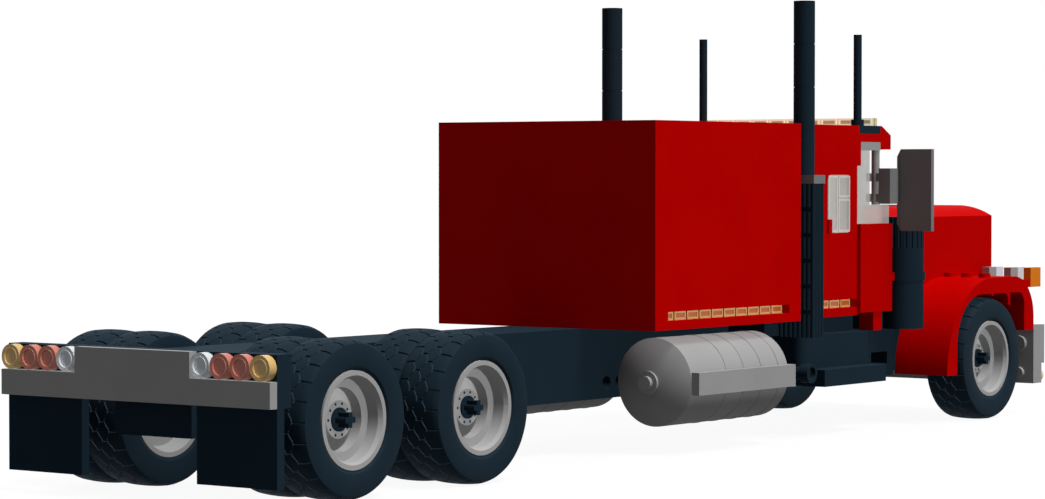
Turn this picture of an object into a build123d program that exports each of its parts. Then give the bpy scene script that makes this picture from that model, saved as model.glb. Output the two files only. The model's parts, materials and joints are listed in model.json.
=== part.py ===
from build123d import *
import os
from math import asin, degrees

os.makedirs("parts", exist_ok=True)

# A toy tractor unit built of plastic bricks. Lengths are in millimetres.
# X runs forward from the rear bar, Y to the left, Z up from the ground.

# Wheels and axles
tyre_radius = 24.75
tyre_width = 17.4
tyre_shoulder = 3.2
tyre_bulge = 1.3
rim_radius = 15.2
rim_lip_radius = 13.7
rim_lip_depth = 1.4
rim_well_radius = 12.9
rim_ledge_depth = 5.5
rim_bowl_radius = 9.9
rim_bowl_depth = 9.3
rim_back_radius = 11.9
rim_back_depth = 11.2
hub_radius = 5.9
hub_depth = 6.3
bead_gap = 0.1
twin_gap = 0.2
track_half = 55.5
rim_inset = 0.5
axle_tip_radius = 2.4
axle_arm = 1.8
axle_end_depth = 1.6
bush_radius = 3.7
bush_depth = 5.7
running_gap = 0.3
pin_hole_radius = 2.45
first_axle = 40.0
axle_spacing = 64.0
axle_ahead_of_cab = 55.0

# Frame
frame_half = 16.0
rail_thick = 8.0
frame_bottom = 19.2
deck_height = 44.8
deck_thick = 3.2
front_overhang = 35.0
cross_block_length = 16.0

# Rear bar, board, flaps and lamps
bar_thick = 3.2
bar_half = 56.0
bar_drop = 6.4
bar_height = 8.0
bar_centre_half = 24.0
lamp_pitch = 8.0
lamp_radius = 3.9
lamp_bezel_radius = 2.6
lamp_bezel_depth = 0.5
board_thick = 6.4
flap_thick = 3.2
flap_height = 24.0
flap_width = 32.0

# Sleeper
sleeper_ahead = 108.0
sleeper_length = 96.0
sleeper_half = 48.0
wall_thick = 8.0
plate_thick = 3.2
body_top = 118.4
marker_pitch = 8.0
marker_gap = 0.8
marker_inset = 3.2
marker_depth = 3.0
marker_height = 3.2

# Cab
cab_length = 80.0
cab_half = 40.0
cab_neck_length = 14.4
door_bay_length = 25.6
window_set_back = 21.8
window_length = 16.4
window_drop = 38.2
window_height = 22.2
window_corner = 2.0
catch_length = 2.4
catch_height = 5.2
catch_proud = 1.0
catch_overlap = 1.6
pane_thick = 1.6
door_length = 24.2
door_proud = 1.6
door_rise = 1.0
door_height = 34.4
sill_height = 7.4
quarter_glass_length = 9.4
pillar_step = 2.8
pillar_step_height = 9.2
header_height = 3.2
visor_length = 8.0
visor_height = 9.2
visor_slope = 7.0
visor_drop = 3.6
roof_lamp_depth = 3.2
roof_lamp_height = 3.0
roof_lamp_set_back = 10.6
bracket_length = 16.0
antenna_radius = 1.6
antenna_height = 33.0
antenna_base_radius = 2.5
antenna_base_height = 2.4
antenna_set_back = 18.8
antenna_inset = 4.0
leg_length = 6.4
leg_set_back = 5.4
door_tab_inner = 36.8
windscreen_thick = 3.2
windscreen_half = 32.0

# Mirrors
post_radius = 1.6
post_forward = 17.6
post_inset = 2.2
arm_height = 13.9
arm_width = 5.1
arm_behind_post = 2.2
mirror_height = 32.0
mirror_width = 15.6
mirror_thick = 2.2
mirror_bevel = 2.0
mirror_lip = 1.6
mirror_corner = 2.9
mirror_ahead = 3.7
mirror_overlap = 0.6
mirror_drop = 10.6
clip_thick = 1.1
clip_height = 3.2
clip_throat = 1.4
clip_shares = (0.13, 0.71)

# Exhaust
stack_radius = 4.0
stack_top = 164.4
stack_section = 16.2
stack_groove = 0.3
guard_gap = 3.4
guard_length = 8.0
stack_ahead = 8.7
stack_half = 44.0
guard_width = 16.0
guard_outer = 51.6
guard_height = 57.6
guard_rib_radius = 0.9
guard_rib_pitch = 2.0
guard_brick = 9.6
guard_band = 1.6
cap_thick = 3.2

# Side boxes, tanks and steps
ledge_ahead = 17.4
box_gap = 1.2
ledge_length = 45.6
ledge_half = 48.0
ledge_height = 6.4
box_half = 40.0
riser_height = 6.4
box_column_radius = 4.0
box_column_ahead = 1.6
base_half = 32.0
base_slot_ahead = 24.4
base_slot_length = 12.5
base_slot_rise = 4.9
base_slot_height = 4.8
box_slot_depth = 8.0
riser_slot_ahead = 10.4
riser_slot_length = 8.5
boss_ahead = 8.3
boss_radius = 3.6
boss_thick = 4.0
tank_ahead = 16.0
tank_length = 64.0
tank_radius = 15.8
tank_half = 36.8
tank_height = 25.7
tank_dome = 4.0
tank_boss_radius = 4.2
tank_boss_rise = 0.8
tank_stud_radius = 2.4
tank_stud_rise = 1.6
tank_ring_width = 0.6
tank_ring_rise = 0.15
tank_ring_count = 4
tank_ring_inset = 6.4
tank_ring_pitch = 11.6
tank_pin_radius = 3.2
tank_pin_inset = 12.0
step_thick = 3.2
step_height = 8.0

# Hood, fenders and front
hood_half = 32.0
hood_overhang = 8.0
hood_top = 86.4
hood_shoulder_drop = 4.3
hood_shoulder_width = 16.0
hood_inlay_set_back = 8.4
grille_half = 24.0
grille_margin = 3.2
grille_depth = 2.4
slat_pitch = 3.2
fender_half = 56.0
fender_inner = 32.2
fender_reach = 37.8
fender_bottom = 19.6
fender_top = 57.6
fender_front_bottom = 35.2
fender_front_radius = 16.8
fender_wall = 8.2
fender_roof = 6.5
fender_inner_radius = 5.0
fender_rear_inner_radius = 20.0
stud_radius = 2.4
stud_height = 1.7
stud_count = 3
stud_pitch = 8.0
bumper_length = 7.2
bumper_half = 56.0
bumper_bottom = 12.8
bumper_height = 24.2
plate_front_thick = 2.4
plate_front_height = 16.0
plate_front_width = 24.0
bumper_boss_half = 49.6
bumper_boss_length = 1.7
# rise above the bumper's foot, radius
bumper_bosses = [
    (4.4, 2.2),
    (16.4, 3.3),
]
fog_radius = 2.8
fog_thick = 2.6
lamp_thick = 3.2
lamp_height = 8.0
lamp_rise = 3.2
lamp_housing_length = 6.2
lamp_lens_length = 6.0
lamp_bar_height = 3.2
lamp_bar_length = 9.0
inner_lamp_half = 38.0
outer_lamp_half = 48.0
turn_length = 8.8
turn_half = 55.4
cleaner_radius = 8.0
cleaner_height = 44.2
cleaner_band_radius = 8.6
cleaner_flute_rise = 31.9
cleaner_flute_radius = 0.5
cleaner_flute_count = 20
cleaner_band_height = 3.2
cleaner_band_rise = 19.2
cleaner_gap = 1.3

# Places that follow from the sizes above
frame_rear = bar_thick + board_thick
bar_top = deck_height - bar_drop
bar_bottom = bar_top - bar_height
board_top = bar_top + lamp_pitch
second_axle = first_axle + axle_spacing
sleeper_rear = second_axle + sleeper_ahead
sleeper_front = sleeper_rear + sleeper_length
floor_top = deck_height + plate_thick
roof_bottom = body_top - plate_thick
cab_front = sleeper_front + cab_length
pillar_front = cab_front - door_bay_length
window_rear = pillar_front - window_set_back
window_bottom = roof_bottom - window_drop
front_axle = cab_front + axle_ahead_of_cab
frame_front = front_axle + front_overhang
cab_neck_front = sleeper_front + cab_neck_length
cab_neck_half = guard_outer - guard_width
door_rear = pillar_front
door_bottom = deck_height + door_rise
door_front = pillar_front + door_length
door_outer = cab_half + door_proud
door_top = door_bottom + door_height
sill_top = door_top + sill_height
header_top = roof_bottom
header_bottom = header_top - header_height
frame_grey_bottom = header_bottom - plate_thick
visor_rear = cab_front - visor_length
bracket_rear = visor_rear - bracket_length
guard_rear = sleeper_front + guard_gap
guard_front = guard_rear + guard_length
box_top = deck_height - riser_height
ledge_top = frame_bottom + ledge_height
guard_base = box_top
guard_top = guard_base + guard_height
stack_x = sleeper_front + stack_ahead
cap_top = guard_top + cap_thick
bumper_front = frame_front + bumper_length
overall_length = bumper_front + plate_front_thick
inner_wheel_outer = track_half - tyre_width - twin_gap
post_x = pillar_front + post_forward
cleaner_x = cab_front + cleaner_radius + cleaner_gap
ledge_rear = sleeper_front + ledge_ahead
boss_x = sleeper_front + boss_ahead
ledge_front = ledge_rear + ledge_length
base_slot_rear = pillar_front + base_slot_ahead
riser_slot_rear = pillar_front + riser_slot_ahead
tank_rear = sleeper_rear + tank_ahead
fender_rear = front_axle - fender_reach
box_front = fender_rear - box_gap
hood_front = frame_front + hood_overhang
hood_inlay_front = hood_front - hood_inlay_set_back

# The finished part stands with its origin on the ground under its middle.
home = Location((-overall_length / 2, 0, 0))


def block(x0, x1, y0, y1, z0, z1):
    """A box given by its low and high faces."""
    middle = Location(((x0 + x1) / 2, (y0 + y1) / 2, (z0 + z1) / 2))
    return middle * Box(x1 - x0, abs(y1 - y0), z1 - z0)


def upright(x, y, z0, z1, radius):
    """A round bar that stands on z0."""
    return Location((x, y, (z0 + z1) / 2)) * Cylinder(radius, z1 - z0)


def crossways(x, z, y0, y1, radius):
    """A round bar that lies across the truck."""
    middle = Location((x, (y0 + y1) / 2, z), (90, 0, 0))
    return middle * Cylinder(radius, abs(y1 - y0))


def lengthways(y, z, x0, x1, radius):
    """A round bar that lies along the truck."""
    middle = Location(((x0 + x1) / 2, y, z), (0, 90, 0))
    return middle * Cylinder(radius, x1 - x0)


def other_side(shape):
    """The same shape on the left."""
    return mirror(shape, about=Plane.XZ)


def both_sides(shape):
    """A right-hand shape with its left-hand twin."""
    return Compound(children=[shape, other_side(shape)])


def save(name, shape):
    export_step(home * shape, os.path.join("parts", name + ".step"))


def spun(points, x, z):
    """A ring about an axle: points are (radius, distance from the middle plane)."""
    outline = Polyline([(x + r, y, z) for r, y in points], close=True)
    return revolve(make_face(outline), Axis((x, 0, z), (0, 1, 0)))


def tyre(x, outer):
    """One tyre on the right, whose outer face is at Y = -outer."""
    near = -outer
    far = near + tyre_width
    bore = rim_radius + bead_gap
    side_radius = tyre_radius - tyre_bulge
    return spun([
        (bore, near + tyre_bulge),
        (bore + tyre_bulge, near),
        (side_radius, near),
        (tyre_radius, near + tyre_shoulder),
        (tyre_radius, far - tyre_shoulder),
        (side_radius, far),
        (bore + tyre_bulge, far),
        (bore, far - tyre_bulge),
    ], x, tyre_radius)


def rim(x, outer):
    """One dished wheel on the right; its hub disc has a round hole for the axle."""
    near = -outer + rim_inset
    far = -outer + tyre_width - rim_inset
    return spun([
        (rim_radius, near),
        (rim_radius, far),
        (rim_lip_radius, far),
        (rim_back_radius, near + rim_back_depth),
        (pin_hole_radius, near + rim_back_depth),
        (pin_hole_radius, near + hub_depth),
        (hub_radius, near + hub_depth),
        (rim_bowl_radius, near + rim_bowl_depth),
        (rim_bowl_radius, near + rim_ledge_depth),
        (rim_well_radius, near + rim_ledge_depth),
        (rim_well_radius, near + rim_lip_depth),
        (rim_lip_radius, near),
    ], x, tyre_radius)


def cross_axle(x, y0, y1):
    """A bar of cross section, turned about Y."""
    flat = block(x - axle_tip_radius, x + axle_tip_radius, y0, y1,
                 tyre_radius - axle_arm / 2, tyre_radius + axle_arm / 2)
    tall = block(x - axle_arm / 2, x + axle_arm / 2, y0, y1,
                 tyre_radius - axle_tip_radius, tyre_radius + axle_tip_radius)
    return (flat + tall) & crossways(x, tyre_radius, y0, y1, axle_tip_radius)


def axle_set(name, x, last_outer):
    """A cross axle with a long bush from each rail to the wheel and a cap bush on each hub."""
    rim_plane = track_half - rim_inset
    end = rim_plane - axle_end_depth
    bar = cross_axle(x, -end, end)
    rail_side = frame_half + running_gap
    hub_back = last_outer - rim_inset - rim_back_depth
    hub_face = rim_plane - hub_depth
    for side in (-1, 1):
        bar += crossways(x, tyre_radius, side * rail_side, side * hub_back, bush_radius)
        bar += crossways(x, tyre_radius, side * hub_face, side * (rim_plane - bush_depth), bush_radius)
    save(name, bar)


# Wheels: name, axle place, whether the wheels are twins
axles = [
    ("rear_axle", first_axle, True),
    ("middle_axle", second_axle, True),
    ("front_axle", front_axle, False),
]
for axle_name, axle_x, twins in axles:
    outers = [track_half]
    if twins:
        outers.append(inner_wheel_outer)
    tyres = [tyre(axle_x, outer) for outer in outers]
    rims = [rim(axle_x, outer) for outer in outers]
    save(axle_name + "_tyres", Compound(children=tyres + [other_side(t) for t in tyres]))
    save(axle_name + "_rims", Compound(children=rims + [other_side(r) for r in rims]))
    axle_set(axle_name + "_shaft", axle_x, outers[-1])

# Frame
rail_top = deck_height - deck_thick
rail = block(frame_rear, frame_front, -frame_half, rail_thick - frame_half, frame_bottom, rail_top)
pin_places = [first_axle, second_axle, front_axle, tank_rear, tank_rear + stud_pitch]
for place in pin_places:
    rail -= crossways(place, tyre_radius, -frame_half - running_gap,
                      rail_thick + running_gap - frame_half, pin_hole_radius)
save("frame_rail_right", rail)
save("frame_rail_left", other_side(rail))
coupling_x = (first_axle + second_axle) / 2
coupling_hole = upright(coupling_x, 0, frame_bottom, deck_height, pin_hole_radius)
rear_deck = block(frame_rear, sleeper_rear, -frame_half, frame_half, rail_top, deck_height)
save("rear_deck", rear_deck - coupling_hole)
save("front_deck", block(sleeper_rear, frame_front, -frame_half, frame_half, rail_top, deck_height))
inside_half = frame_half - rail_thick
cross_blocks = []
cross_starts = [
    frame_rear,
    coupling_x - cross_block_length / 2,
    sleeper_rear,
    sleeper_front,
    cab_front,
    frame_front - cross_block_length,
]
for start in cross_starts:
    cross_block = block(start, start + cross_block_length, -inside_half, inside_half,
                        frame_bottom, rail_top)
    cross_blocks.append(cross_block - coupling_hole)
save("frame_cross_blocks", Compound(children=cross_blocks))

# Rear end
bar = block(0, bar_thick, -bar_half, bar_half, bar_bottom, bar_top)
bar += block(0, bar_thick, -bar_centre_half, bar_centre_half, bar_top, board_top)
save("rear_bar", bar)
save("rear_board", block(bar_thick, frame_rear, -bar_half, bar_half, bar_bottom, board_top))
flap = block(bar_thick, bar_thick + flap_thick, -bar_half, flap_width - bar_half,
             bar_bottom - flap_height, bar_bottom)
save("mudflaps", both_sides(flap))


def rear_lamp(place):
    """A round lens on the bar, with a shallow ring cut in its face."""
    y = -bar_centre_half - lamp_pitch * (place + 1 / 2)
    z = bar_top + lamp_pitch / 2
    lens = lengthways(y, z, 0, bar_thick, lamp_radius)
    ring = lengthways(y, z, 0, lamp_bezel_depth, lamp_bezel_radius)
    return lens - ring


# Rear lamps: node, places counted from the middle outwards
rear_lamps = [
    ("rear_lamps_clear", [0]),
    ("rear_lamps_red", [1, 2]),
    ("rear_lamps_amber", [3]),
]
for lamp_name, places in rear_lamps:
    right = [rear_lamp(place) for place in places]
    save(lamp_name, Compound(children=right + [other_side(lamp) for lamp in right]))

# Floor under the sleeper and the cab
floor = block(sleeper_rear, sleeper_front, -sleeper_half, sleeper_half, deck_height, floor_top)
floor += block(sleeper_front, cab_neck_front, -cab_neck_half, cab_neck_half, deck_height, floor_top)
floor += block(cab_neck_front, door_rear, -cab_half, cab_half, deck_height, floor_top)
door_inner = door_outer - wall_thick
floor += block(door_rear, cab_front, -door_inner, door_inner, deck_height, floor_top)
save("body_floor", floor)

# Sleeper
save("sleeper_rear_wall", block(sleeper_rear, sleeper_rear + wall_thick, wall_thick - sleeper_half,
                                sleeper_half - wall_thick, floor_top, roof_bottom))
side = block(sleeper_rear, sleeper_front, -sleeper_half, wall_thick - sleeper_half, floor_top, roof_bottom)
sleeper_row_rear = sleeper_rear + wall_thick
sleeper_row_front = sleeper_front - wall_thick
recess = marker_inset + marker_depth
side -= block(sleeper_row_rear, sleeper_row_front, -sleeper_half, recess - sleeper_half,
              floor_top, floor_top + marker_height)
side += block(sleeper_row_front, sleeper_front, wall_thick - sleeper_half, wall_thick - cab_neck_half,
              floor_top, roof_bottom)
save("sleeper_side_right", side)
save("sleeper_side_left", other_side(side))
save("sleeper_roof", block(sleeper_rear, sleeper_front, -sleeper_half, sleeper_half, roof_bottom, body_top))


def marker_row(start, end, outer):
    """A row of square lenses on one strip, set back in a wall."""
    face = marker_inset - outer
    row = block(start, end, face + marker_depth / 2, face + marker_depth, floor_top, floor_top + marker_height)
    count = round((end - start) / marker_pitch)
    step = (end - start) / count
    for place in range(count):
        left = start + place * step
        row += block(left + marker_gap / 2, left + step - marker_gap / 2, face, face + marker_depth,
                     floor_top, floor_top + marker_height)
    return row


cab_row_rear = cab_neck_front
cab_row_front = pillar_front
rows = [
    marker_row(sleeper_row_rear, sleeper_row_front, sleeper_half),
    marker_row(cab_row_rear, cab_row_front, cab_half),
]
save("marker_lights", Compound(children=rows + [other_side(row) for row in rows]))

# Cab
side = block(cab_neck_front, pillar_front, -cab_half, wall_thick - cab_half, floor_top, roof_bottom)
side += block(sleeper_front, cab_neck_front, -cab_neck_half, wall_thick - cab_neck_half,
              floor_top, roof_bottom)
side -= block(cab_row_rear, cab_row_front, -cab_half, recess - cab_half, floor_top, floor_top + marker_height)
window = block(window_rear, window_rear + window_length, -cab_half, wall_thick - cab_half,
               window_bottom, window_bottom + window_height)
window = fillet(window.edges().filter_by(Axis.Y), window_corner)
side -= window
side += block(pillar_front, pillar_front + pillar_step, -cab_half, wall_thick - cab_half,
              header_bottom - pillar_step_height, header_bottom)
catch_rear = window_rear + catch_overlap - catch_length
side += block(catch_rear, catch_rear + catch_length, -cab_half - catch_proud, -cab_half,
              window_bottom, window_bottom + catch_height)
save("cab_side_right", side)
save("cab_side_left", other_side(side))
roof = block(sleeper_front, cab_neck_front, -cab_neck_half, cab_neck_half, roof_bottom, body_top)
roof += block(cab_neck_front, bracket_rear, -cab_half, cab_half, roof_bottom, body_top)
bracket_inner = cab_half - wall_thick
roof += block(bracket_rear, visor_rear, -bracket_inner, bracket_inner, roof_bottom, body_top)
save("cab_roof", roof)
visor_bottom = body_top - visor_height
visor_outline = Polyline([
    (visor_rear, -cab_half, visor_bottom),
    (cab_front, -cab_half, visor_bottom),
    (cab_front, -cab_half, body_top - visor_drop),
    (cab_front - visor_slope, -cab_half, body_top),
    (visor_rear, -cab_half, body_top),
], close=True)
visor = extrude(make_face(visor_outline), amount=2 * cab_half, dir=(0, 1, 0))
visor += block(pillar_front, visor_rear, -cab_half, cab_half, header_bottom, header_top)
save("sun_visor", visor)
firewall_rear = visor_rear - windscreen_thick
firewall = block(firewall_rear, cab_front, -door_inner, door_inner, floor_top, door_top)
save("cab_firewall", firewall)

# Doors with their legs below
door = block(door_rear, door_front, -door_outer, -door_inner, door_bottom, door_top)
leg_front = door_front - leg_set_back
door += block(leg_front - leg_length, leg_front, -cab_half, -door_inner, box_top, door_bottom)
tab_front = cleaner_x - cleaner_band_radius - running_gap
tab_bottom = box_top + cleaner_band_rise
door += block(door_front, tab_front, -door_outer, -door_tab_inner, tab_bottom, tab_bottom + plate_thick)
save("door_right", door)
save("door_left", other_side(door))

# Glass
pane = block(window_rear, window_rear + window_length, -cab_half, pane_thick - cab_half,
             window_bottom, window_bottom + window_height)
pane = fillet(pane.edges().filter_by(Axis.Y), window_corner)
save("side_windows", both_sides(pane))
sill = block(door_rear, door_front, -cab_half, pane_thick * 2 - cab_half, door_top, sill_top)
step_z = header_bottom - pillar_step_height
sill += block(door_rear, door_rear + quarter_glass_length, -cab_half, pane_thick * 2 - cab_half,
              sill_top, step_z)
sill += block(door_rear + pillar_step, door_rear + quarter_glass_length, -cab_half, pane_thick * 2 - cab_half,
              step_z, frame_grey_bottom)
save("door_glass", both_sides(sill))
save("windscreen", block(firewall_rear, visor_rear, -windscreen_half, windscreen_half,
                         door_top, header_bottom))

# Grey frame tops and the round posts that carry the mirrors
post_y = post_inset - cab_half
post = upright(post_x, post_y, sill_top, frame_grey_bottom, post_radius)
frame_top = block(pillar_front + pillar_step, visor_rear, -cab_half, wall_thick - cab_half,
                  frame_grey_bottom, header_bottom)
save("mirror_posts", both_sides(post + frame_top))

# Mirrors, each on an arm that is clipped round its post
clip_ring = post_radius + running_gap
clip_outer = clip_ring + clip_thick
arm_bottom = sill_top + running_gap
mirror_x = post_x + mirror_ahead
mirror_front = mirror_x + mirror_thick
arm_inner = clip_outer - post_y - running_gap
mirror_bottom = arm_bottom - mirror_drop
mirror_top = mirror_bottom + mirror_height
plate_inner = arm_inner + arm_width - mirror_overlap
bevel_outline = Polyline([
    (mirror_x, -plate_inner - mirror_width, mirror_bottom),
    (mirror_front, -plate_inner - mirror_width, mirror_bottom),
    (mirror_front, -plate_inner, mirror_bottom),
    (mirror_front - mirror_lip, -plate_inner, mirror_bottom),
    (mirror_x, -plate_inner - mirror_bevel, mirror_bottom),
], close=True)
arm = block(post_x - arm_behind_post, mirror_front - mirror_lip, -arm_inner - arm_width, -arm_inner,
            arm_bottom, arm_bottom + arm_height)
mirror_plate = extrude(make_face(bevel_outline), amount=mirror_height, dir=(0, 0, 1))
for corner_z, inward in ((mirror_bottom, mirror_corner), (mirror_top, -mirror_corner)):
    corner_outline = Polyline([
        (mirror_x, -plate_inner, corner_z),
        (mirror_x, -plate_inner - mirror_bevel, corner_z),
        (mirror_x, -plate_inner, corner_z + inward),
    ], close=True)
    mirror_plate -= extrude(make_face(corner_outline), amount=mirror_thick, dir=(1, 0, 0))
mirror_arm = arm + mirror_plate
for share in clip_shares:
    low = arm_bottom + arm_height * share - clip_thick
    high = low + clip_height
    jaw = block(post_x - arm_behind_post, post_x + clip_outer, post_y - clip_outer, post_y + clip_outer,
                low, high)
    jaw += block(post_x, mirror_x, -arm_inner - clip_thick, post_y, low, high)
    jaw -= upright(post_x, post_y, low, high, clip_ring)
    jaw -= block(post_x - arm_behind_post - clip_thick, post_x, post_y - clip_throat, post_y + clip_throat,
                 low, high)
    mirror_arm += jaw
save("mirror_right", mirror_arm)
save("mirror_left", other_side(mirror_arm))

# Lights on the cab roof
roof_lamp_front = cab_front - roof_lamp_set_back
roof_lamp_rear = roof_lamp_front - roof_lamp_depth
count = round(2 * cab_half / marker_pitch)
lamp_step = 2 * cab_half / count
roof_row = block(roof_lamp_rear + roof_lamp_depth / 2, roof_lamp_front, -cab_half, cab_half,
                 body_top, body_top + roof_lamp_height)
for place in range(count):
    low = place * lamp_step - cab_half
    roof_row += block(roof_lamp_rear, roof_lamp_front, low + marker_gap / 2, low + lamp_step - marker_gap / 2,
                      body_top, body_top + roof_lamp_height)
save("roof_lights", roof_row)

# Antennas on black corner brackets
antenna_x = cab_front - antenna_set_back
antenna_y = antenna_inset - cab_half
antenna = upright(antenna_x, antenna_y, body_top, body_top + antenna_base_height, antenna_base_radius)
antenna += upright(antenna_x, antenna_y, body_top, body_top + antenna_base_height + antenna_height,
                   antenna_radius)
antenna += block(bracket_rear, visor_rear, -cab_half, -bracket_inner, roof_bottom, body_top)
save("antennas", both_sides(antenna))

# Exhaust stacks, their ribbed guards and grey caps
stack = upright(stack_x, -stack_half, cap_top, stack_top, stack_radius)
joint_z = stack_top - stack_section
while joint_z > cap_top:
    groove = upright(stack_x, -stack_half, joint_z, joint_z + stack_groove, stack_radius)
    groove -= upright(stack_x, -stack_half, joint_z, joint_z + stack_groove, stack_radius - stack_groove)
    stack -= groove
    joint_z -= stack_section
save("exhaust_stacks", both_sides(stack))
rib = guard_rib_radius
guard = block(guard_rear + rib, guard_front, rib - guard_outer, guard_width - guard_outer - rib,
              guard_base, guard_top)
rib_places = [(guard_rear + rib, place) for place in range(round(guard_width / guard_rib_pitch))]
rib_places += [(guard_rear + rib + place * guard_rib_pitch, 0)
               for place in range(1, round(guard_length / guard_rib_pitch))]
for rib_x, place in rib_places:
    guard += upright(rib_x, rib - guard_outer + place * guard_rib_pitch, guard_base, guard_top, rib)
for brick in range(1, round(guard_height / guard_brick)):
    joint_z = guard_base + brick * guard_brick
    guard += block(guard_rear, guard_front - rib, rib - guard_outer, guard_width - guard_outer - rib,
                   joint_z - guard_band / 2, joint_z + guard_band / 2)
save("stack_guards", both_sides(guard))
cap = block(guard_rear, guard_front, -guard_outer, guard_width - guard_outer, guard_top, cap_top)
save("stack_caps", both_sides(cap))

# Side boxes: a tall base, with a box and a low ledge on its rear half and a round rear corner
column_x = ledge_rear + box_column_ahead
column_y = box_column_radius - box_half
column_rear = column_x - box_column_radius
box = block(column_x, box_front, -base_half, -frame_half, frame_bottom, deck_height)
box += block(sleeper_front, column_x, -base_half, -frame_half, box_top, deck_height)
box += block(ledge_rear, ledge_front, -ledge_half, -frame_half, frame_bottom, ledge_top)
box += block(column_rear, column_x, column_y, -frame_half, ledge_top, box_top)
box += block(column_x, ledge_front, -box_half, -frame_half, ledge_top, box_top)
box += upright(column_x, column_y, ledge_top, box_top, box_column_radius)
box -= block(base_slot_rear, base_slot_rear + base_slot_length, -base_half, box_slot_depth - base_half,
             frame_bottom + base_slot_rise, frame_bottom + base_slot_rise + base_slot_height)
box -= block(riser_slot_rear, riser_slot_rear + riser_slot_length, -base_half, box_slot_depth - base_half,
             box_top, deck_height)
hole_ring = crossways(boss_x, tyre_radius, -ledge_half, boss_thick - ledge_half, boss_radius)
hole_ring -= crossways(boss_x, tyre_radius, -ledge_half, boss_thick - ledge_half, pin_hole_radius)
hole_ring += crossways(boss_x, tyre_radius, boss_thick / 2 - ledge_half, -frame_half, pin_hole_radius)
side_box = Compound(children=[box, hole_ring])
save("side_box_right", side_box)
save("side_box_left", other_side(side_box))

# Fuel tanks and the steps on them
tank_front = tank_rear + tank_length
dome_radius = (tank_radius**2 + tank_dome**2) / (2 * tank_dome)
tank = lengthways(-tank_half, tank_height, tank_rear, tank_front, tank_radius)
tank_reach = lengthways(-tank_half, tank_height, tank_rear - tank_dome, tank_front + tank_dome, tank_radius)
for dome_x in (tank_rear - tank_dome + dome_radius, tank_front + tank_dome - dome_radius):
    ball = Location((dome_x, -tank_half, tank_height)) * Sphere(dome_radius)
    outside = block(tank_rear, tank_front, -tank_half - tank_radius, tank_radius - tank_half,
                    tank_height - tank_radius, tank_height + tank_radius)
    tank += (ball & tank_reach) - outside
boss_reach = tank_dome + tank_boss_rise
tank += lengthways(-tank_half, tank_height, tank_rear - boss_reach, tank_front + boss_reach, tank_boss_radius)
tank += lengthways(-tank_half, tank_height, tank_rear - boss_reach - tank_stud_rise,
                   tank_front + boss_reach + tank_stud_rise, tank_stud_radius)
for place in range(tank_ring_count):
    ring_x = tank_front - tank_ring_inset - tank_ring_pitch * place
    tank += lengthways(-tank_half, tank_height, ring_x, ring_x + tank_ring_width, tank_radius + tank_ring_rise)
for pin_x in (tank_rear + tank_pin_inset, tank_front - tank_pin_inset):
    tank += crossways(pin_x, tank_height, -tank_half, -frame_half, tank_pin_radius)
save("fuel_tank_right", tank)
save("fuel_tank_left", other_side(tank))
step_inner = tank_half + tank_radius
step = block(tank_rear, tank_front, -step_inner - step_thick, -step_inner,
             tank_height - step_height / 2, tank_height + step_height / 2)
save("tank_steps", both_sides(step))

# Hood: a flat top whose shoulders curve down to upright sides
hood_rear = cab_front
shoulder_z = hood_top - hood_shoulder_drop
shoulder_radius = (hood_shoulder_width**2 + hood_shoulder_drop**2) / (2 * hood_shoulder_drop)
shoulder_y = hood_half - hood_shoulder_width
shoulder_span = degrees(asin(hood_shoulder_width / shoulder_radius))
arc_z = hood_top - shoulder_radius
hood_section = Wire([
    Line((-hood_half, deck_height), (-hood_half, shoulder_z)),
    CenterArc((-shoulder_y, arc_z), shoulder_radius, 90, shoulder_span),
    Line((-shoulder_y, hood_top), (shoulder_y, hood_top)),
    CenterArc((shoulder_y, arc_z), shoulder_radius, 90 - shoulder_span, shoulder_span),
    Line((hood_half, shoulder_z), (hood_half, deck_height)),
    Line((hood_half, deck_height), (-hood_half, deck_height)),
])
hood = extrude(Plane.YZ.offset(hood_rear) * make_face(hood_section), amount=hood_front - hood_rear)
grille_bottom = deck_height + grille_margin
grille_top = shoulder_z - grille_margin
hood -= block(hood_front - grille_depth, hood_front, -grille_half, grille_half, grille_bottom, grille_top)
hood_inlay = block(hood_rear, hood_inlay_front, -shoulder_y, shoulder_y, hood_top - plate_thick, hood_top)
save("hood_top_plate", hood_inlay)
save("hood", hood - hood_inlay)

# Grille: upright slats between a sill and a head
grille = block(hood_front - grille_depth, hood_front, -grille_half, grille_half,
               grille_bottom, grille_bottom + grille_margin)
grille += block(hood_front - grille_depth, hood_front, -grille_half, grille_half,
                grille_top - grille_margin, grille_top)
grille += block(hood_front - grille_depth, hood_front - grille_depth / 2, -grille_half, grille_half,
                grille_bottom, grille_top)
slat_count = round(2 * grille_half / slat_pitch)
for place in range(slat_count):
    low = place * slat_pitch - grille_half
    grille += block(hood_front - grille_depth, hood_front, low, low + slat_pitch / 2, grille_bottom, grille_top)
save("grille", grille)

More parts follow.
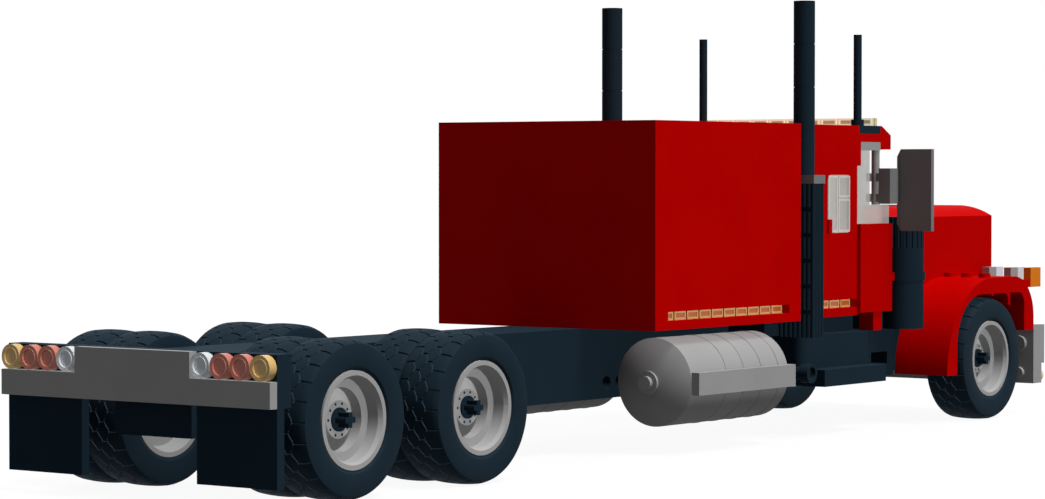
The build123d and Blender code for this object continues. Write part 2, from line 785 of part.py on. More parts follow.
# Fenders
sweep_x = fender_rear + (fender_top - fender_bottom)
corner_x = frame_front - fender_front_radius
corner_z = fender_top - fender_front_radius
outer_edge = [
    Line((fender_rear + fender_wall, fender_bottom), (fender_rear, fender_bottom)),
    CenterArc((sweep_x, fender_bottom), fender_top - fender_bottom, 90, 90),
    Line((sweep_x, fender_top), (corner_x, fender_top)),
    CenterArc((corner_x, corner_z), fender_front_radius, 0, 90),
    Line((frame_front, corner_z), (frame_front, fender_front_bottom)),
]
roof_z = fender_top - fender_roof
front_in = frame_front - fender_wall
rear_in = fender_rear + fender_wall
rear_arc = fender_rear_inner_radius
inner_edge = [
    Line((frame_front, fender_front_bottom), (front_in, fender_front_bottom)),
    Line((front_in, fender_front_bottom), (front_in, roof_z - fender_inner_radius)),
    CenterArc((front_in - fender_inner_radius, roof_z - fender_inner_radius), fender_inner_radius, 0, 90),
    Line((front_in - fender_inner_radius, roof_z), (rear_in + rear_arc, roof_z)),
    CenterArc((rear_in + rear_arc, roof_z - rear_arc), rear_arc, 90, 90),
    Line((rear_in, roof_z - rear_arc), (rear_in, fender_bottom)),
]
arch = make_face(Wire(outer_edge + inner_edge))
fender = Plane.XZ.offset(fender_inner) * arch
fender = extrude(fender, amount=fender_half - fender_inner, dir=(0, -1, 0))
for place in range(stud_count):
    stud_y = -hood_half - stud_pitch * (place + 1 / 2)
    fender += upright(front_axle, stud_y, fender_top, fender_top + stud_height, stud_radius)
lamp_front = bumper_front
turn_rear = lamp_front - turn_length
lamp_top = fender_top + lamp_rise
lamp_bottom = lamp_top - lamp_height
fender += block(turn_rear - lamp_bar_length, turn_rear, -turn_half, -hood_half,
                lamp_bottom, lamp_bottom + lamp_bar_height)
save("fender_right", fender)
save("fender_left", other_side(fender))

# Air cleaners: a canister with a clamp band, fluted above
cleaner_half = hood_half + cleaner_band_radius
cleaner_top = box_top + cleaner_height
cleaner = upright(cleaner_x, -cleaner_half, box_top, cleaner_top, cleaner_radius)
band_low = box_top + cleaner_band_rise
cleaner += upright(cleaner_x, -cleaner_half, band_low, band_low + cleaner_band_height, cleaner_band_radius)
flute_turn = 360 / cleaner_flute_count
for place in range(cleaner_flute_count):
    flute = Location((cleaner_x, -cleaner_half, box_top + cleaner_flute_rise), (0, 0, place * flute_turn))
    flute *= Location((cleaner_radius, 0, (cleaner_height - cleaner_flute_rise) / 2))
    cleaner -= flute * Cylinder(cleaner_flute_radius, cleaner_height - cleaner_flute_rise)
save("air_cleaners", both_sides(cleaner))

# Lamps, seated on the bar across each fender's rounded front
lens_rear = lamp_front - lamp_lens_length
housing_rear = lens_rear - lamp_housing_length
housings = []
lenses = []
for lamp_half in (inner_lamp_half, outer_lamp_half):
    lamp_inner = lamp_thick - lamp_half
    housings.append(block(housing_rear, lens_rear, -lamp_half, lamp_inner, lamp_bottom, lamp_top) - fender)
    lenses.append(block(lens_rear, lamp_front, -lamp_half, lamp_inner, lamp_bottom, lamp_top))
save("headlamp_housings", Compound(children=housings + [other_side(housing) for housing in housings]))
save("headlamp_lenses", Compound(children=lenses + [other_side(lens) for lens in lenses]))
turn = block(turn_rear, lamp_front, -turn_half, lamp_thick - turn_half, lamp_bottom, lamp_top)
save("turn_signals", both_sides(turn - fender))

# Front bumper with a plate at each end, bosses at its back and fog lamps
bumper_top = bumper_bottom + bumper_height
bumper = block(frame_front, bumper_front, -bumper_half, bumper_half, bumper_bottom, bumper_top)
for rise, radius in bumper_bosses:
    for side in (-1, 1):
        boss = lengthways(side * bumper_boss_half, bumper_bottom + rise,
                          frame_front - bumper_boss_length, frame_front, radius)
        bumper += boss
front_plate = block(bumper_front, overall_length, -bumper_half, plate_front_width - bumper_half,
                    bumper_top - plate_front_height, bumper_top)
save("front_bumper", Compound(children=[bumper, front_plate, other_side(front_plate)]))
fog_z = bumper_bottom + fog_radius + running_gap
fog_y = fog_radius + running_gap - bumper_half
fog = lengthways(fog_y, fog_z, bumper_front, bumper_front + plate_front_thick, fog_radius)
save("fog_lamps", both_sides(fog))
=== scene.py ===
import bpy
import json
import math
import numpy as np
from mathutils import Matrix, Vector


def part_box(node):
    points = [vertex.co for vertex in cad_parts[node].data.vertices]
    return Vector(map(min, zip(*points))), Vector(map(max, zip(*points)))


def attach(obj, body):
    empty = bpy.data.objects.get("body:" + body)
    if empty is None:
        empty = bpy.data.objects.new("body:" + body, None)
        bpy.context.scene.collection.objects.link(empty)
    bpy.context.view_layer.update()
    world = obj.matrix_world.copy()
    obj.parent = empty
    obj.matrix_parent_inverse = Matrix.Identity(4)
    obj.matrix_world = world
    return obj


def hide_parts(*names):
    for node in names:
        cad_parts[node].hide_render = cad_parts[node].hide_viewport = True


# Toy truck tractor built of plastic bricks: finishes, tread and small parts over the fixed model.
# Lengths are in metres, X forward, Y left, Z up.

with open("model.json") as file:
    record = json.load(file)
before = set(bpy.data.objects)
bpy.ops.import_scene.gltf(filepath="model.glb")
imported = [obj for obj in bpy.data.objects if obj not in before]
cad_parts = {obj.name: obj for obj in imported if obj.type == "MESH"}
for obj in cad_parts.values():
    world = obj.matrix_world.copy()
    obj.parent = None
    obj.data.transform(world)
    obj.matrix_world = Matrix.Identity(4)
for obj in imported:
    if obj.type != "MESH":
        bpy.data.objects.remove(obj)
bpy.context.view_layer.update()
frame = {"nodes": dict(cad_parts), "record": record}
nodes = frame["nodes"]
mm = 0.001
print("stage: frame loaded,", len(nodes), "nodes")


# Node graph helpers

def startMaterial(name):
    material = bpy.data.materials.new(name)
    material.use_nodes = True
    tree = material.node_tree
    shader = tree.nodes["Principled BSDF"]
    place = tree.nodes.new("ShaderNodeTexCoord")
    return material, tree, shader, place.outputs["Object"]


def addNode(tree, kind, **settings):
    # Each setting goes to the node's own property of that name, or else to its socket
    node = tree.nodes.new(kind)
    for key, value in settings.items():
        if hasattr(node, key):
            setattr(node, key, value)
        else:
            node.inputs[key].default_value = value
    return node


def noise(tree, where, scale, detail, rough):
    node = addNode(tree, "ShaderNodeTexNoise", Scale=scale, Detail=detail, Roughness=rough)
    tree.links.new(where, node.inputs["Vector"])
    return node.outputs["Fac"]


def spread(tree, value, low, high, fromLow=0.3, fromHigh=0.7):
    # Maps most of a noise's range to low..high, and cuts off what lies past it
    node = addNode(tree, "ShaderNodeMapRange")
    tree.links.new(value, node.inputs["Value"])
    node.inputs["From Min"].default_value = fromLow
    node.inputs["From Max"].default_value = fromHigh
    node.inputs["To Min"].default_value = low
    node.inputs["To Max"].default_value = high
    return node.outputs["Result"]


def blendColours(tree, factor, first, second):
    node = addNode(tree, "ShaderNodeMix", data_type="RGBA")
    tree.links.new(factor, node.inputs["Factor"])
    node.inputs["A"].default_value = first
    node.inputs["B"].default_value = second
    return node.outputs["Result"]


def shade(colour, factor):
    return tuple(channel * factor for channel in colour[:3]) + (1.0,)


def addSkin(tree, shader, height, strength, depth):
    bump = addNode(tree, "ShaderNodeBump", Strength=strength, Distance=depth)
    tree.links.new(height, bump.inputs["Height"])
    tree.links.new(bump.outputs["Normal"], shader.inputs["Normal"])


# Moulded brick plastic: an even colour that drifts a little over a brick's length,
# a soft gloss with faint handling marks, and the fine skin of a polished mould.
# A noise is its scale, detail and roughness.

plasticLook = {
    "drift": (55.0, 3.0, 0.5),
    "driftShare": 0.035,
    "marks": (420.0, 5.0, 0.65),
    "skin": (2600.0, 2.0, 0.5),
    "skinStrength": 0.35,
    "skinDepth": 0.004 * mm,
    "glossLow": 0.58,
    "glossHigh": 0.70,
    "reflection": 0.006,
}

plasticColours = {
    "body_red": (0.372, 0.0, 0.0, 1.0),
    "frame_black": (0.0093, 0.0187, 0.0276, 1.0),
    "panel_grey": (0.250, 0.250, 0.250, 1.0),
    "rim_grey": (0.280, 0.280, 0.280, 1.0),
    "turn_orange": (0.545, 0.155, 0.012, 1.0),
    "mirror_grey": (0.150, 0.150, 0.150, 1.0),
    "cap_grey": (0.150, 0.150, 0.150, 1.0),
}


def mouldedPlastic(name, colour, look=plasticLook):
    material, tree, shader, place = startMaterial(name)
    drift = spread(tree, noise(tree, place, *look["drift"]), 0.0, 1.0)
    dark = shade(colour, 1.0 - look["driftShare"])
    pale = shade(colour, 1.0 + look["driftShare"])
    tree.links.new(blendColours(tree, drift, dark, pale), shader.inputs["Base Color"])
    marks = spread(tree, noise(tree, place, *look["marks"]), look["glossLow"], look["glossHigh"])
    tree.links.new(marks, shader.inputs["Roughness"])
    addSkin(tree, shader, noise(tree, place, *look["skin"]), look["skinStrength"], look["skinDepth"])
    shader.inputs["Specular IOR Level"].default_value = look["reflection"]
    return material


# Soft tyre rubber: matt, with a dusty bloom in broad patches, paler grooves that are partly dust and
# partly painted light against the shade in them, and a fine pebbled skin

rubberLook = {
    "colour": (0.0086, 0.0172, 0.0254, 1.0),
    "bloomColour": (0.0108, 0.0206, 0.0300, 1.0),
    "dustAndPaintedLightColour": (0.0190, 0.0360, 0.0520, 1.0),
    "bloom": (130.0, 4.0, 0.6),
    "bloomShare": 0.55,
    "skin": (1900.0, 3.0, 0.5),
    "skinStrength": 0.5,
    "skinDepth": 0.012 * mm,
    "glossLow": 0.55,
    "glossHigh": 0.72,
    "reflection": 0.02,
}


def tyreRubber(name, look=rubberLook):
    material, tree, shader, place = startMaterial(name)
    bloom = spread(tree, noise(tree, place, *look["bloom"]), 0.0, look["bloomShare"])
    rubber = blendColours(tree, bloom, look["colour"], look["bloomColour"])
    # grooves are paler: partly dust, partly painted light that stands in for the lit groove walls and
    # lifts the shade in the grooves
    groove = addNode(tree, "ShaderNodeAttribute", attribute_name="groove")
    dustAndPaintedLight = blendColours(tree, groove.outputs["Fac"], look["colour"], look["dustAndPaintedLightColour"])
    tree.links.new(rubber, dustAndPaintedLight.node.inputs["A"])
    tree.links.new(dustAndPaintedLight, shader.inputs["Base Color"])
    skin = noise(tree, place, *look["skin"])
    tree.links.new(spread(tree, skin, look["glossLow"], look["glossHigh"]), shader.inputs["Roughness"])
    addSkin(tree, shader, skin, look["skinStrength"], look["skinDepth"])
    shader.inputs["Specular IOR Level"].default_value = look["reflection"]
    return material


# Clear moulded plastic, tinted in the mass: some light passes straight through, the rest is scattered. A
# lens may also carry a painted glow, an emission of its own tint though it is no lamp

clearLook = {
    "flow": (180.0, 2.0, 0.5),
    "flowShare": 0.02,
    "flowCover": 0.01,
    "flowStrength": 0.3,
    "flowDepth": 0.010 * mm,
    "gloss": 0.10,
    "reflection": 0.20,
}

# name: tint, share of the surface that hides what is behind it, painted glow that the lens gives off
# though it is no lamp
clearColours = {
    "clear_plastic": ((0.50, 0.50, 0.475, 1.0), 0.62, 0.0),
    "lens_clear": ((0.56, 0.59, 0.62, 1.0), 0.80, 0.0),
    "lens_red": ((0.46, 0.150, 0.105, 1.0), 0.88, 0.0),
    "lens_amber": ((0.54, 0.36, 0.13, 1.0), 0.88, 0.0),
    "lens_orange": ((0.45, 0.125, 0.036, 1.0), 0.96, 0.0),
    # the roof lights' lens and edge finishes carry a painted glow: they give off light though they are no
    # lamps
    "lens_pale_yellow": ((0.42, 0.37, 0.21, 1.0), 0.98, 0.34),
    "window_edge": ((0.56, 0.54, 0.50, 1.0), 0.80, 0.0),
    "lens_edge_clear": ((0.80, 0.82, 0.84, 1.0), 0.92, 0.0),
    "lens_edge_red": ((0.62, 0.28, 0.22, 1.0), 0.92, 0.0),
    "lens_edge_amber": ((0.70, 0.50, 0.24, 1.0), 0.92, 0.0),
    "lens_edge_orange": ((0.60, 0.42, 0.14, 1.0), 0.96, 0.0),
    "lens_edge_yellow": ((0.78, 0.72, 0.55, 1.0), 0.98, 0.60),
}


def clearPlastic(name, tint, cover, paintedGlow, look=clearLook):
    material, tree, shader, place = startMaterial(name)
    flow = noise(tree, place, *look["flow"])
    dark = shade(tint, 1.0 - look["flowShare"])
    pale = shade(tint, 1.0 + look["flowShare"])
    mixed = blendColours(tree, spread(tree, flow, 0.0, 1.0), dark, pale)
    tree.links.new(mixed, shader.inputs["Base Color"])
    thick = spread(tree, flow, cover - look["flowCover"], cover + look["flowCover"])
    tree.links.new(thick, shader.inputs["Alpha"])
    addSkin(tree, shader, flow, look["flowStrength"], look["flowDepth"])
    shader.inputs["Roughness"].default_value = look["gloss"]
    shader.inputs["Specular IOR Level"].default_value = look["reflection"]
    shader.inputs["Emission Color"].default_value = tint
    # painted glow: the lens gives off light of its own tint, standing in for light that falls on it
    shader.inputs["Emission Strength"].default_value = paintedGlow
    return material


finishes = {}
for slotName, colour in plasticColours.items():
    finishes[slotName] = mouldedPlastic(slotName + "_finish", colour)
for slotName, (tint, cover, paintedGlow) in clearColours.items():
    finishes[slotName] = clearPlastic(slotName + "_finish", tint, cover, paintedGlow)
finishes["tyre_rubber"] = tyreRubber("tyre_rubber_finish")

# nodes whose grey is darker than the other grey pieces
darkerGreys = {"mirror_right": "mirror_grey", "mirror_left": "mirror_grey", "stack_caps": "cap_grey"}

for part in frame["record"]["subparts"]:
    node = nodes[part["node"]]
    for slot in node.material_slots:
        slot.material = finishes[darkerGreys.get(part["node"], part["material_slot"])]
print("stage: finishes on", len(nodes), "nodes")


# Mesh helpers: a shape is an array of points and an array of four-cornered faces

def gridFaces(rows, columns, closed):
    # A grid whose columns run round a ring: corner (row, column), its next column, next row.
    # A closed grid also joins its last row to its first.
    row, column = np.meshgrid(np.arange(rows if closed else rows - 1), np.arange(columns), indexing="ij")
    nextRow = (row + 1) % rows * columns
    nextColumn = (column + 1) % columns
    corners = (row * columns + column, row * columns + nextColumn, nextRow + nextColumn, nextRow + column)
    return np.stack([corner.ravel() for corner in corners], axis=1)


def tubeFaces(rows, columns):
    # An open grid with both ends closed flat: each end is strips from corner k and k + 1 to the two
    # corners across the ring from them
    k = np.arange(columns // 2 - 1)
    end = np.stack([k, k + 1, columns - 2 - k, columns - 1 - k], axis=1)
    return np.concatenate([gridFaces(rows, columns, False), end[:, ::-1], end + (rows - 1) * columns])


def outward(points, faces):
    # The volume of the pyramids from the origin to each face is negative for a shape that is inside out
    a, b, c, d = (points[faces[:, k]] for k in range(4))
    volume = np.sum(a * np.cross(b, c)) + np.sum(a * np.cross(c, d))
    return points, faces if volume > 0 else faces[:, ::-1]


def joinShapes(shapes):
    # Many shapes as one, each face's numbers moved past the points before it
    starts = np.cumsum([0] + [len(points) for points, _ in shapes[:-1]])
    points = np.concatenate([points for points, _ in shapes])
    return points, np.concatenate([faces + start for (_, faces), start in zip(shapes, starts)])


def repeatShape(shape, places):
    # A copy of the shape moved to each place
    points, faces = shape
    starts = np.arange(len(places))[:, None, None] * len(points)
    return (points[None] + np.array(places)[:, None]).reshape(-1, 3), (faces[None] + starts).reshape(-1, 4)


def bothSides(shape):
    # The shape with its mirror image across the truck, whose faces run the other way round
    points, faces = shape
    return joinShapes([shape, (points * np.array([1, -1, 1]), faces[:, ::-1])])


def makePiece(name, shape, body, slotName, finish=None, sharp=30.0):
    # Faces shade smoothly, apart from edges sharper than the angle in degrees
    points, faces = shape
    mesh = bpy.data.meshes.new(name)
    mesh.from_pydata(points.tolist(), [], faces.tolist())
    mesh.polygons.foreach_set("use_smooth", np.ones(len(mesh.polygons), dtype=bool))
    mesh.set_sharp_from_angle(angle=math.radians(sharp))
    mesh.materials.append(finishes[finish or slotName])
    mesh.update()
    piece = bpy.data.objects.new(name, mesh)
    bpy.context.scene.collection.objects.link(piece)
    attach(piece, body)
    return piece


def turnedShape(profile, along, count, ring):
    # A turned shape: each profile row (radius, height along the axis) becomes a circle of count points.
    # A ring's last circle joins its first; otherwise flat ends close both.
    angle = np.arange(count) * 2 * math.pi / count
    radius, height = np.array(profile).T[:, :, None]
    grid = np.zeros((len(profile), count, 3))
    grid[:, :, (along + 1) % 3] = radius * np.cos(angle)
    grid[:, :, (along + 2) % 3] = radius * np.sin(angle)
    grid[:, :, along] = height
    faces = gridFaces(len(profile), count, True) if ring else tubeFaces(len(profile), count)
    return outward(grid.reshape(-1, 3), faces)


def frameShape(low, high, along, proud, border):
    # A flat picture frame on the face at low[along]: four mitred corners, each a rectangle of
    # border by proud, closed round the opening
    first, second = [axis for axis in (0, 1, 2) if axis != along]
    signs = np.array([(-1, -1), (1, -1), (1, 1), (-1, 1)])
    middle = np.array([low[first] + high[first], low[second] + high[second]]) / 2
    half = np.array([high[first] - low[first], high[second] - low[second]]) / 2
    inset = np.array([0, 0, border, border])[None, :, None]
    corners = middle + signs[:, None] * (half - inset)
    grid = np.zeros((4, 4, 3))
    grid[:, :, first] = corners[:, :, 0]
    grid[:, :, second] = corners[:, :, 1]
    grid[:, :, along] = low[along] + np.array([0, proud, proud, 0])
    return outward(grid.reshape(-1, 3), gridFaces(4, 4, True))


def middleOf(low, high):
    # The point half way between the two corners of a box
    return [(a + b) / 2 for a, b in zip(low, high)]


# Tyres: a closed ring with three wavy grooves round the tread and short cross cuts
# that close the honeycomb between them and notch both shoulders.
# Places round the tyre are shares of one period of the tread. Rows of the bead and the shoulder are shares
# of their own size: the rise from the bore or from the sidewall's top, and the step in from the side.
# The shoulder's rows above that top are notched.

tyreLook = {
    "width": 17.4 * mm,
    "twinGap": 0.2 * mm,
    "rimGap": 0.1 * mm,
    "periods": 24,
    "grooveWidth": 0.22 * mm,
    "grooveWall": 0.12 * mm,
    "grooveDepth": 0.62 * mm,
    "grooveSpacing": 3.55 * mm,
    "waveReach": 0.62 * mm,
    "waveShares": (0.0, 0.2, 0.5, 0.7, 1.0),
    "waveSides": (-1, -1, 1, 1, -1),
    "roundingShares": (0.35, 0.85),
    "cutShares": (0.1, 0.6),
    "cutHalfShare": 0.034,
    "cutWallShare": 0.012,
    "crownDrop": 0.22 * mm,
    "crownSpacings": 1.5,
    "bead": 1.3 * mm,
    "beadRows": ((0.0, 1.0), (0.8, 0.15), (1.4, 0.0)),
    "shoulder": 1.3 * mm,
    "shoulderRows": ((-0.5, 0.0), (0.0, 0.15), (0.42, 0.75), (0.72, 1.6)),
}


def tyreShape(centre, radius, bore, look=tyreLook):
    # One turn is cut in equal periods. Each row of points is a ring at its own radius and width,
    # and the rows that border a groove swing sideways with a flat-topped wave of the angle. The middle
    # groove swings against its neighbours, so long six-sided blocks lie between them. A tread row's radius
    # is the tyre's less a drop that grows with the square of the distance from the middle. A point sinks
    # by the groove's depth on a groove's floor rows, and on a cross cut's columns, where two grooves come
    # nearest or an outer groove comes nearest its shoulder.
    cutHalf = look["cutHalfShare"]
    cutEdge = cutHalf + look["cutWallShare"]
    steps = (-cutEdge, -cutHalf, cutHalf, cutEdge)
    columns = [place + step for place in look["cutShares"] for step in steps]
    columns = np.sort(np.array(columns + list(look["waveShares"][1:] + look["roundingShares"])))
    angle = (np.arange(look["periods"])[:, None] + columns).ravel() * 2 * math.pi / look["periods"]
    share = np.tile(columns, look["periods"])
    wave = np.interp(share, look["waveShares"], look["waveSides"])
    firstCut, secondCut = [np.abs(share - place) < (cutHalf + cutEdge) / 2 for place in look["cutShares"]]

    # rows: radius or 0 on the crown, distance from the middle, swing of the wave, 1 on a groove's floor,
    # which of the cuts sinks it
    face = look["width"] / 2
    side = [(bore + look["bead"] * rise, face - look["bead"] * inset, 0)
            for rise, inset in look["beadRows"]]
    side += [(radius - look["shoulder"] * (1 - rise), face - look["shoulder"] * inset, rise > 0)
             for rise, inset in look["shoulderRows"]]
    rows = [(fixed, place, 0, 0, 2 * notched) for fixed, place, notched in side]
    spacing = look["grooveSpacing"]
    floorHalf = look["grooveWidth"] / 2
    edgeHalf = floorHalf + look["grooveWall"]
    # grooves: place, swing, the cuts before and after it
    for place, swing, before, after in [(spacing, 1, 2, 1), (0.0, -1, 1, 2), (-spacing, 1, 2, 1)]:
        if place < spacing:
            rows.append((0, place + spacing / 2, 0, 0, before))
        rows += [(0, place + edgeHalf, swing, 0, before), (0, place + floorHalf, swing, 1, 0),
                 (0, place - floorHalf, swing, 1, 0), (0, place - edgeHalf, swing, 0, after)]
    rows += [(fixed, -place, 0, 0, 1 * notched) for fixed, place, notched in side[::-1]]

    fixed, place, swing, floor, cut = np.array(rows, dtype=float).T[:, :, None]
    across = place + swing * (wave * look["waveReach"])
    crown = radius - look["crownDrop"] * (across / spacing / look["crownSpacings"]) ** 2
    sunk = (floor == 1) | ((cut == 1) & firstCut) | ((cut == 2) & secondCut)
    reach = np.where(fixed > 0, fixed, crown) - np.where(sunk, look["grooveDepth"], 0.0)
    x = centre[0] + reach * np.sin(angle)
    z = centre[2] + reach * np.cos(angle)
    points = np.stack([x.ravel(), across.ravel(), z.ravel()], axis=1)
    bordersFloor = (floor.ravel() == 1) | (np.roll(floor.ravel(), -1) == 1)
    inGroove = np.repeat(bordersFloor, len(angle)).astype(np.float32)
    return outward(points, gridFaces(len(rows), len(angle), True)), inGroove


# body: whether its wheels are twins
tyreTwins = {"rear_axle": True, "middle_axle": True, "front_axle": False}
for body, twin in tyreTwins.items():
    low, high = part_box(body + "_tyres")
    rimLow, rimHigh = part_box(body + "_rims")
    radius = (high[2] - low[2]) / 2
    bore = (rimHigh[2] - rimLow[2]) / 2 + tyreLook["rimGap"]
    middles = [high[1] - tyreLook["width"] / 2]
    if twin:
        middles.append(middles[0] - tyreLook["width"] - tyreLook["twinGap"])
    shape, inGroove = tyreShape(middleOf(low, high), radius, bore)
    places = [(0, side * middle, 0) for middle in middles for side in (1, -1)]
    piece = makePiece(body + "_treaded_tyres", repeatShape(shape, places), body, "tyre_rubber")
    layer = piece.data.attributes.new("groove", "FLOAT", "FACE")
    layer.data.foreach_set("value", np.tile(inGroove, len(places)))
    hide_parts(body + "_tyres")
print("stage: tyres")


# Hub holes: small dished black rings, proud of the hub, in a circle round the bush of each outer wheel:
# painted shade that stands in for the dark of holes.
# The lip and the dish are shares of a ring's radius.

hubLook = {
    "holes": 10,
    "corners": 12,
    "circle": 4.95 * mm,
    "radius": 0.44 * mm,
    "lipShare": 0.72,
    "dishShare": 0.66,
    "faceDepth": 6.8 * mm,
    "proud": 0.05 * mm,
    "dish": 0.01 * mm,
    "root": 0.1 * mm,
}

hubProfile = [
    (hubLook["radius"], -hubLook["root"]),
    (hubLook["radius"], hubLook["proud"]),
    (hubLook["radius"] * hubLook["lipShare"], hubLook["proud"]),
    (hubLook["radius"] * hubLook["dishShare"], hubLook["dish"]),
]
hubRing = turnedShape(hubProfile, 1, hubLook["corners"], False)
turn = (np.arange(hubLook["holes"]) + 0.5) * 2 * math.pi / hubLook["holes"]
for body in tyreTwins:
    low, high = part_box(body + "_tyres")
    centre = middleOf(low, high)
    spots = np.stack([centre[0] + hubLook["circle"] * np.sin(turn),
                      np.full(len(turn), high[1] - hubLook["faceDepth"]),
                      centre[2] + hubLook["circle"] * np.cos(turn)], axis=1)
    # black discs in place of holes: painted shade where holes would be dark
    makePiece(body + "_hub_hole_shade_discs", bothSides(repeatShape(hubRing, spots)), body, "frame_black")
print("stage: hub holes")


# Lamp rings: a fine ring on each rear lamp

ringLook = {
    "lampRadius": 3.9 * mm,
    "pitch": 8.0 * mm,
    "outer": 2.80 * mm,
    "inner": 2.62 * mm,
    "proud": 0.10 * mm,
    "root": 0.02 * mm,
    "corners": 32,
}

# name: lamps counted outwards from the plate, slot, finish
lampRings = {
    "clear_lamp_rings": ((0,), "lens_clear", "lens_edge_clear"),
    "red_lamp_rings": ((1, 2), "lens_red", "lens_edge_red"),
    "amber_lamp_rings": ((3,), "lens_amber", "lens_edge_amber"),
}
lampLow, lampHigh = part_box("rear_lamps_clear")
lampMiddle = middleOf(lampLow, lampHigh)
firstLamp = lampHigh[1] - ringLook["lampRadius"]
ringProfile = [
    (ringLook["outer"], ringLook["root"]),
    (ringLook["outer"], -ringLook["proud"]),
    (ringLook["inner"], -ringLook["proud"]),
    (ringLook["inner"], ringLook["root"]),
]
lampRing = turnedShape(ringProfile, 0, ringLook["corners"], True)
for name, (lamps, slotName, finish) in lampRings.items():
    spots = [(lampLow[0], firstLamp + ringLook["pitch"] * lamp, lampMiddle[2]) for lamp in lamps]
    makePiece(name, bothSides(repeatShape(lampRing, spots)), "chassis", slotName, finish)


# Light edges: a moulded edge round each small square light of the roof and the sides.
# Side rows give their start and end along the body, the distance of their faces from the middle,
# and how many lights they have.

edgeLook = {
    "border": 0.75 * mm,
    "proud": 0.25 * mm,
    "gap": 0.8 * mm,
    "roofCount": 10,
    "sideRows": (
        (-23.8 * mm, 56.2 * mm, 44.8 * mm, 10),
        (78.6 * mm, 118.6 * mm, 36.8 * mm, 5),
    ),
}


def edgeRow(low, high, along, proud, run, count, look=edgeLook):
    # Frames of equal pitch side by side along the run axis of a face
    step = (high[run] - low[run]) / count
    cellLow = list(low)
    cellHigh = list(high)
    cellLow[run] = look["gap"] / 2
    cellHigh[run] = step - look["gap"] / 2
    spots = np.zeros((count, 3))
    spots[:, run] = low[run] + step * np.arange(count)
    return repeatShape(frameShape(cellLow, cellHigh, along, proud, look["border"]), spots)


roofLow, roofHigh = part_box("roof_lights")
roofEdges = edgeRow(roofLow, roofHigh, 0, -edgeLook["proud"], 1, edgeLook["roofCount"])
makePiece("roof_light_edges", roofEdges, "chassis", "lens_pale_yellow", "lens_edge_yellow")

markerLow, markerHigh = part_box("marker_lights")
sideEdges = joinShapes([
    edgeRow((start, face, markerLow[2]), (end, face, markerHigh[2]), 1, edgeLook["proud"], 0, count)
    for start, end, face, count in edgeLook["sideRows"]
])
makePiece("marker_light_edges", bothSides(sideEdges), "chassis", "lens_orange", "lens_edge_orange")
print("stage: lamp trim")


# Fender ribs: short webs under each front fender's roof, clear of the tyre below.
# Their places are forward of the axle, and the fender's own sizes are those of the model.

ribLook = {
    "places": (0.0, 13.9 * mm),
    "thick": 1.8 * mm,
    "flare": 3.4 * mm,
    "flareDrop": 3.0 * mm,
    "flareShare": 0.75,
    "flareSteps": 7,
    "tyreGap": 0.8 * mm,
    "sunk": 0.2 * mm,
    "fenderTop": 57.6 * mm,
    "fenderRoof": 6.5 * mm,
    "inner": 32.4 * mm,
    "outer": 55.9 * mm,
}


def ribShape(place, radius, look=ribLook):
    # The outline starts inside the roof, comes down the rear side along a quarter ellipse and then
    # straight, and goes up the straight front side at the same drops. Each side ends above the tyre, whose
    # height is its radius plus the root of radius squared less the distance from the axle squared. The
    # outline is carried straight across the fender.
    roof = look["fenderTop"] - look["fenderRoof"]
    sides = place + np.array([-1, 1]) * look["thick"] / 2
    ends = roof - look["tyreGap"] - radius - np.sqrt(radius ** 2 - sides ** 2)
    flareDrop = min(look["flareDrop"], ends.min() * look["flareShare"])
    angle = np.linspace(0, math.pi / 2, look["flareSteps"])
    drops = np.concatenate([[-look["sunk"]], flareDrop * (1 - np.cos(angle))])
    reach = np.concatenate([[look["flare"]], look["flare"] * (1 - np.sin(angle))])
    rear = np.stack([np.append(sides[0] - reach, sides[0]), roof - np.append(drops, ends[0])], axis=1)
    front = np.stack([np.full(len(drops) + 1, sides[1]), roof - np.append(drops, ends[1])], axis=1)
    outline = np.concatenate([rear, front[::-1]])
    grid = np.zeros((2, len(outline), 3))
    grid[:, :, 0] = outline[:, 0]
    grid[:, :, 1] = np.array([look["inner"], look["outer"]])[:, None]
    grid[:, :, 2] = outline[:, 1]
    return outward(grid.reshape(-1, 3), tubeFaces(2, len(outline)))


low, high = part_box("front_axle_tyres")
axle = middleOf(low, high)
ribs = joinShapes([ribShape(place, (high[2] - low[2]) / 2) for place in ribLook["places"]])
makePiece("fender_ribs", bothSides(repeatShape(ribs, [(axle[0], 0, 0)])), "chassis", "body_red")
print("stage: fender ribs")


# Side windows: a moulded edge with one upright and one cross bar, at shares of the window's length
# and height

windowLook = {
    "edge": 0.8 * mm,
    "proud": 0.15 * mm,
    "gap": 0.6 * mm,
    "uprightShare": 0.45,
    "crossShare": 0.60,
}

windowLow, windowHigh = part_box("side_windows")
split = windowLow[0] + (windowHigh[0] - windowLow[0]) * windowLook["uprightShare"]
level = windowLow[2] + (windowHigh[2] - windowLow[2]) * windowLook["crossShare"]
# panels: low corner and high corner, each along the body and up
panels = [
    ((windowLow[0], windowLow[2]), (split, windowHigh[2])),
    ((split, windowLow[2]), (windowHigh[0], level)),
    ((split, level), (windowHigh[0], windowHigh[2])),
]
inset = windowLook["gap"] / 2
windowBars = joinShapes([
    frameShape((x0 + inset, windowHigh[1], z0 + inset), (x1 - inset, windowHigh[1], z1 - inset),
               1, windowLook["proud"], windowLook["edge"])
    for (x0, z0), (x1, z1) in panels
])
makePiece("side_window_bars", bothSides(windowBars), "chassis", "clear_plastic", "window_edge")
print("stage: window bars")


# Studio: floor, light and camera. Each lamp's direction is where its light comes from, and its softness
# is in degrees.

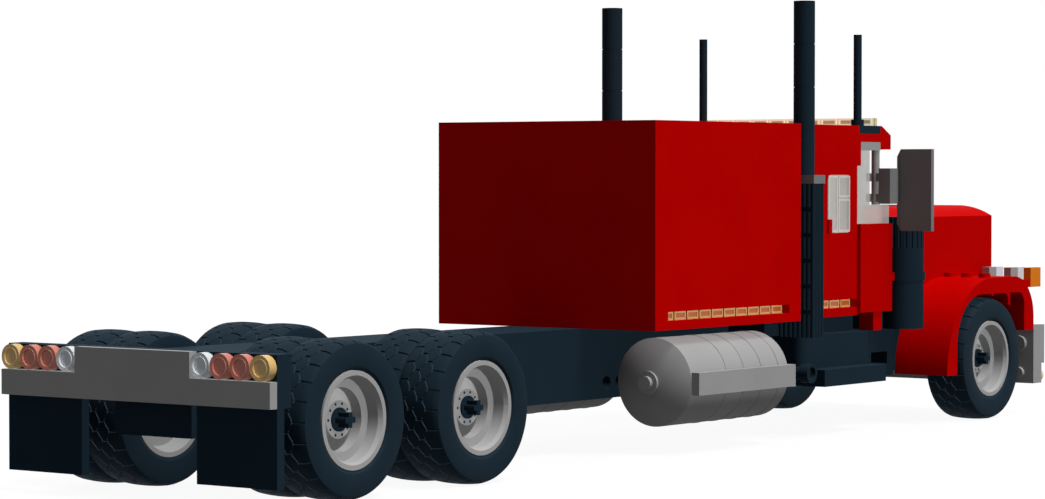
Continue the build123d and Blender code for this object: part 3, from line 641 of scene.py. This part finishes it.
studio = {
    "floorSize": 12.0,
    "floorColour": (0.13, 0.13, 0.135, 1.0),
    "floorGlow": 0.80,
    "floorRoughness": 0.9,
    "white": (1.0, 1.0, 1.0, 1.0),
    "ambient": 0.19,
    "keyPower": 1.2,
    "openKeyPower": 3.8,
    "keyFrom": (0.0, -0.50, 0.86),
    "keySoft": 16.0,
    "fillPower": 1.2,
    "fillFrom": (0.62, 0.70, 0.36),
    "fillSoft": 60.0,
    "lowPower": 0.22,
    "lowFrom": (-0.1, -0.45, -0.88),
}


def sunLamp(name, source, power, soft, shadow=True, gloss=True):
    lamp = bpy.data.lights.new(name, "SUN")
    lamp.energy = power
    lamp.angle = math.radians(soft)
    lamp.use_shadow = shadow
    holder = bpy.data.objects.new(name, lamp)
    holder.visible_glossy = gloss
    holder.rotation_euler = Vector(source).to_track_quat("Z", "Y").to_euler()
    bpy.context.scene.collection.objects.link(holder)


# the key light is split, so that shadows on the object stay light
sunLamp("keyLight", studio["keyFrom"], studio["keyPower"], studio["keySoft"])
sunLamp("openKeyLight", studio["keyFrom"], studio["openKeyPower"], studio["keySoft"], shadow=False)
sunLamp("fillLight", studio["fillFrom"], studio["fillPower"], studio["fillSoft"], gloss=False)
sunLamp("lowLight", studio["lowFrom"], studio["lowPower"], studio["fillSoft"], shadow=False, gloss=False)


def backgroundRays(tree):
    # 1 for rays that should find the white background: from the camera, in gloss and through glass
    path = tree.nodes.new("ShaderNodeLightPath")
    gloss = addNode(tree, "ShaderNodeMath", operation="MAXIMUM")
    glass = addNode(tree, "ShaderNodeMath", operation="MAXIMUM")
    tree.links.new(path.outputs["Is Camera Ray"], gloss.inputs[0])
    tree.links.new(path.outputs["Is Glossy Ray"], gloss.inputs[1])
    tree.links.new(gloss.outputs[0], glass.inputs[0])
    tree.links.new(path.outputs["Is Transmission Ray"], glass.inputs[1])
    return glass.outputs[0]


floorMaterial, tree, shader, _ = startMaterial("floor_finish")
floorGlow = spread(tree, backgroundRays(tree), 0.0, studio["floorGlow"], 0.0, 1.0)
tree.links.new(floorGlow, shader.inputs["Emission Strength"])
shader.inputs["Base Color"].default_value = studio["floorColour"]
shader.inputs["Emission Color"].default_value = studio["white"]
shader.inputs["Roughness"].default_value = studio["floorRoughness"]
shader.inputs["Specular IOR Level"].default_value = 0.0
half = studio["floorSize"] / 2
floorMesh = bpy.data.meshes.new("floor")
floorCorners = [(-half, -half, 0), (half, -half, 0), (half, half, 0), (-half, half, 0)]
floorMesh.from_pydata(floorCorners, [], [(0, 1, 2, 3)])
floorMesh.materials.append(floorMaterial)
floor = bpy.data.objects.new("floor", floorMesh)
bpy.context.scene.collection.objects.link(floor)

world = bpy.data.worlds.new("studio")
bpy.context.scene.world = world
world.use_nodes = True
sky = world.node_tree
skyLight = spread(sky, backgroundRays(sky), studio["ambient"], 1.0, 0.0, 1.0)
sky.links.new(skyLight, sky.nodes["Background"].inputs["Strength"])
sky.nodes["Background"].inputs["Color"].default_value = studio["white"]

# place in metres; turn to the left from X and tilt down in degrees; lens in millimetres
cameraLook = {
    "place": (-0.9429, -0.67012, 0.09962),
    "turn": 36.729,
    "tilt": 1.368,
    "lens": 109.07,
    "nearest": 0.01,
}
camera = bpy.data.objects.new("camera", bpy.data.cameras.new("camera"))
camera.data.lens = cameraLook["lens"]
camera.data.clip_start = cameraLook["nearest"]
camera.location = cameraLook["place"]
camera.rotation_euler = (math.radians(90 - cameraLook["tilt"]), 0, math.radians(cameraLook["turn"] - 90))
bpy.context.scene.collection.objects.link(camera)
bpy.context.scene.camera = camera
bpy.context.scene.view_settings.view_transform = "Standard"
print("stage: studio")
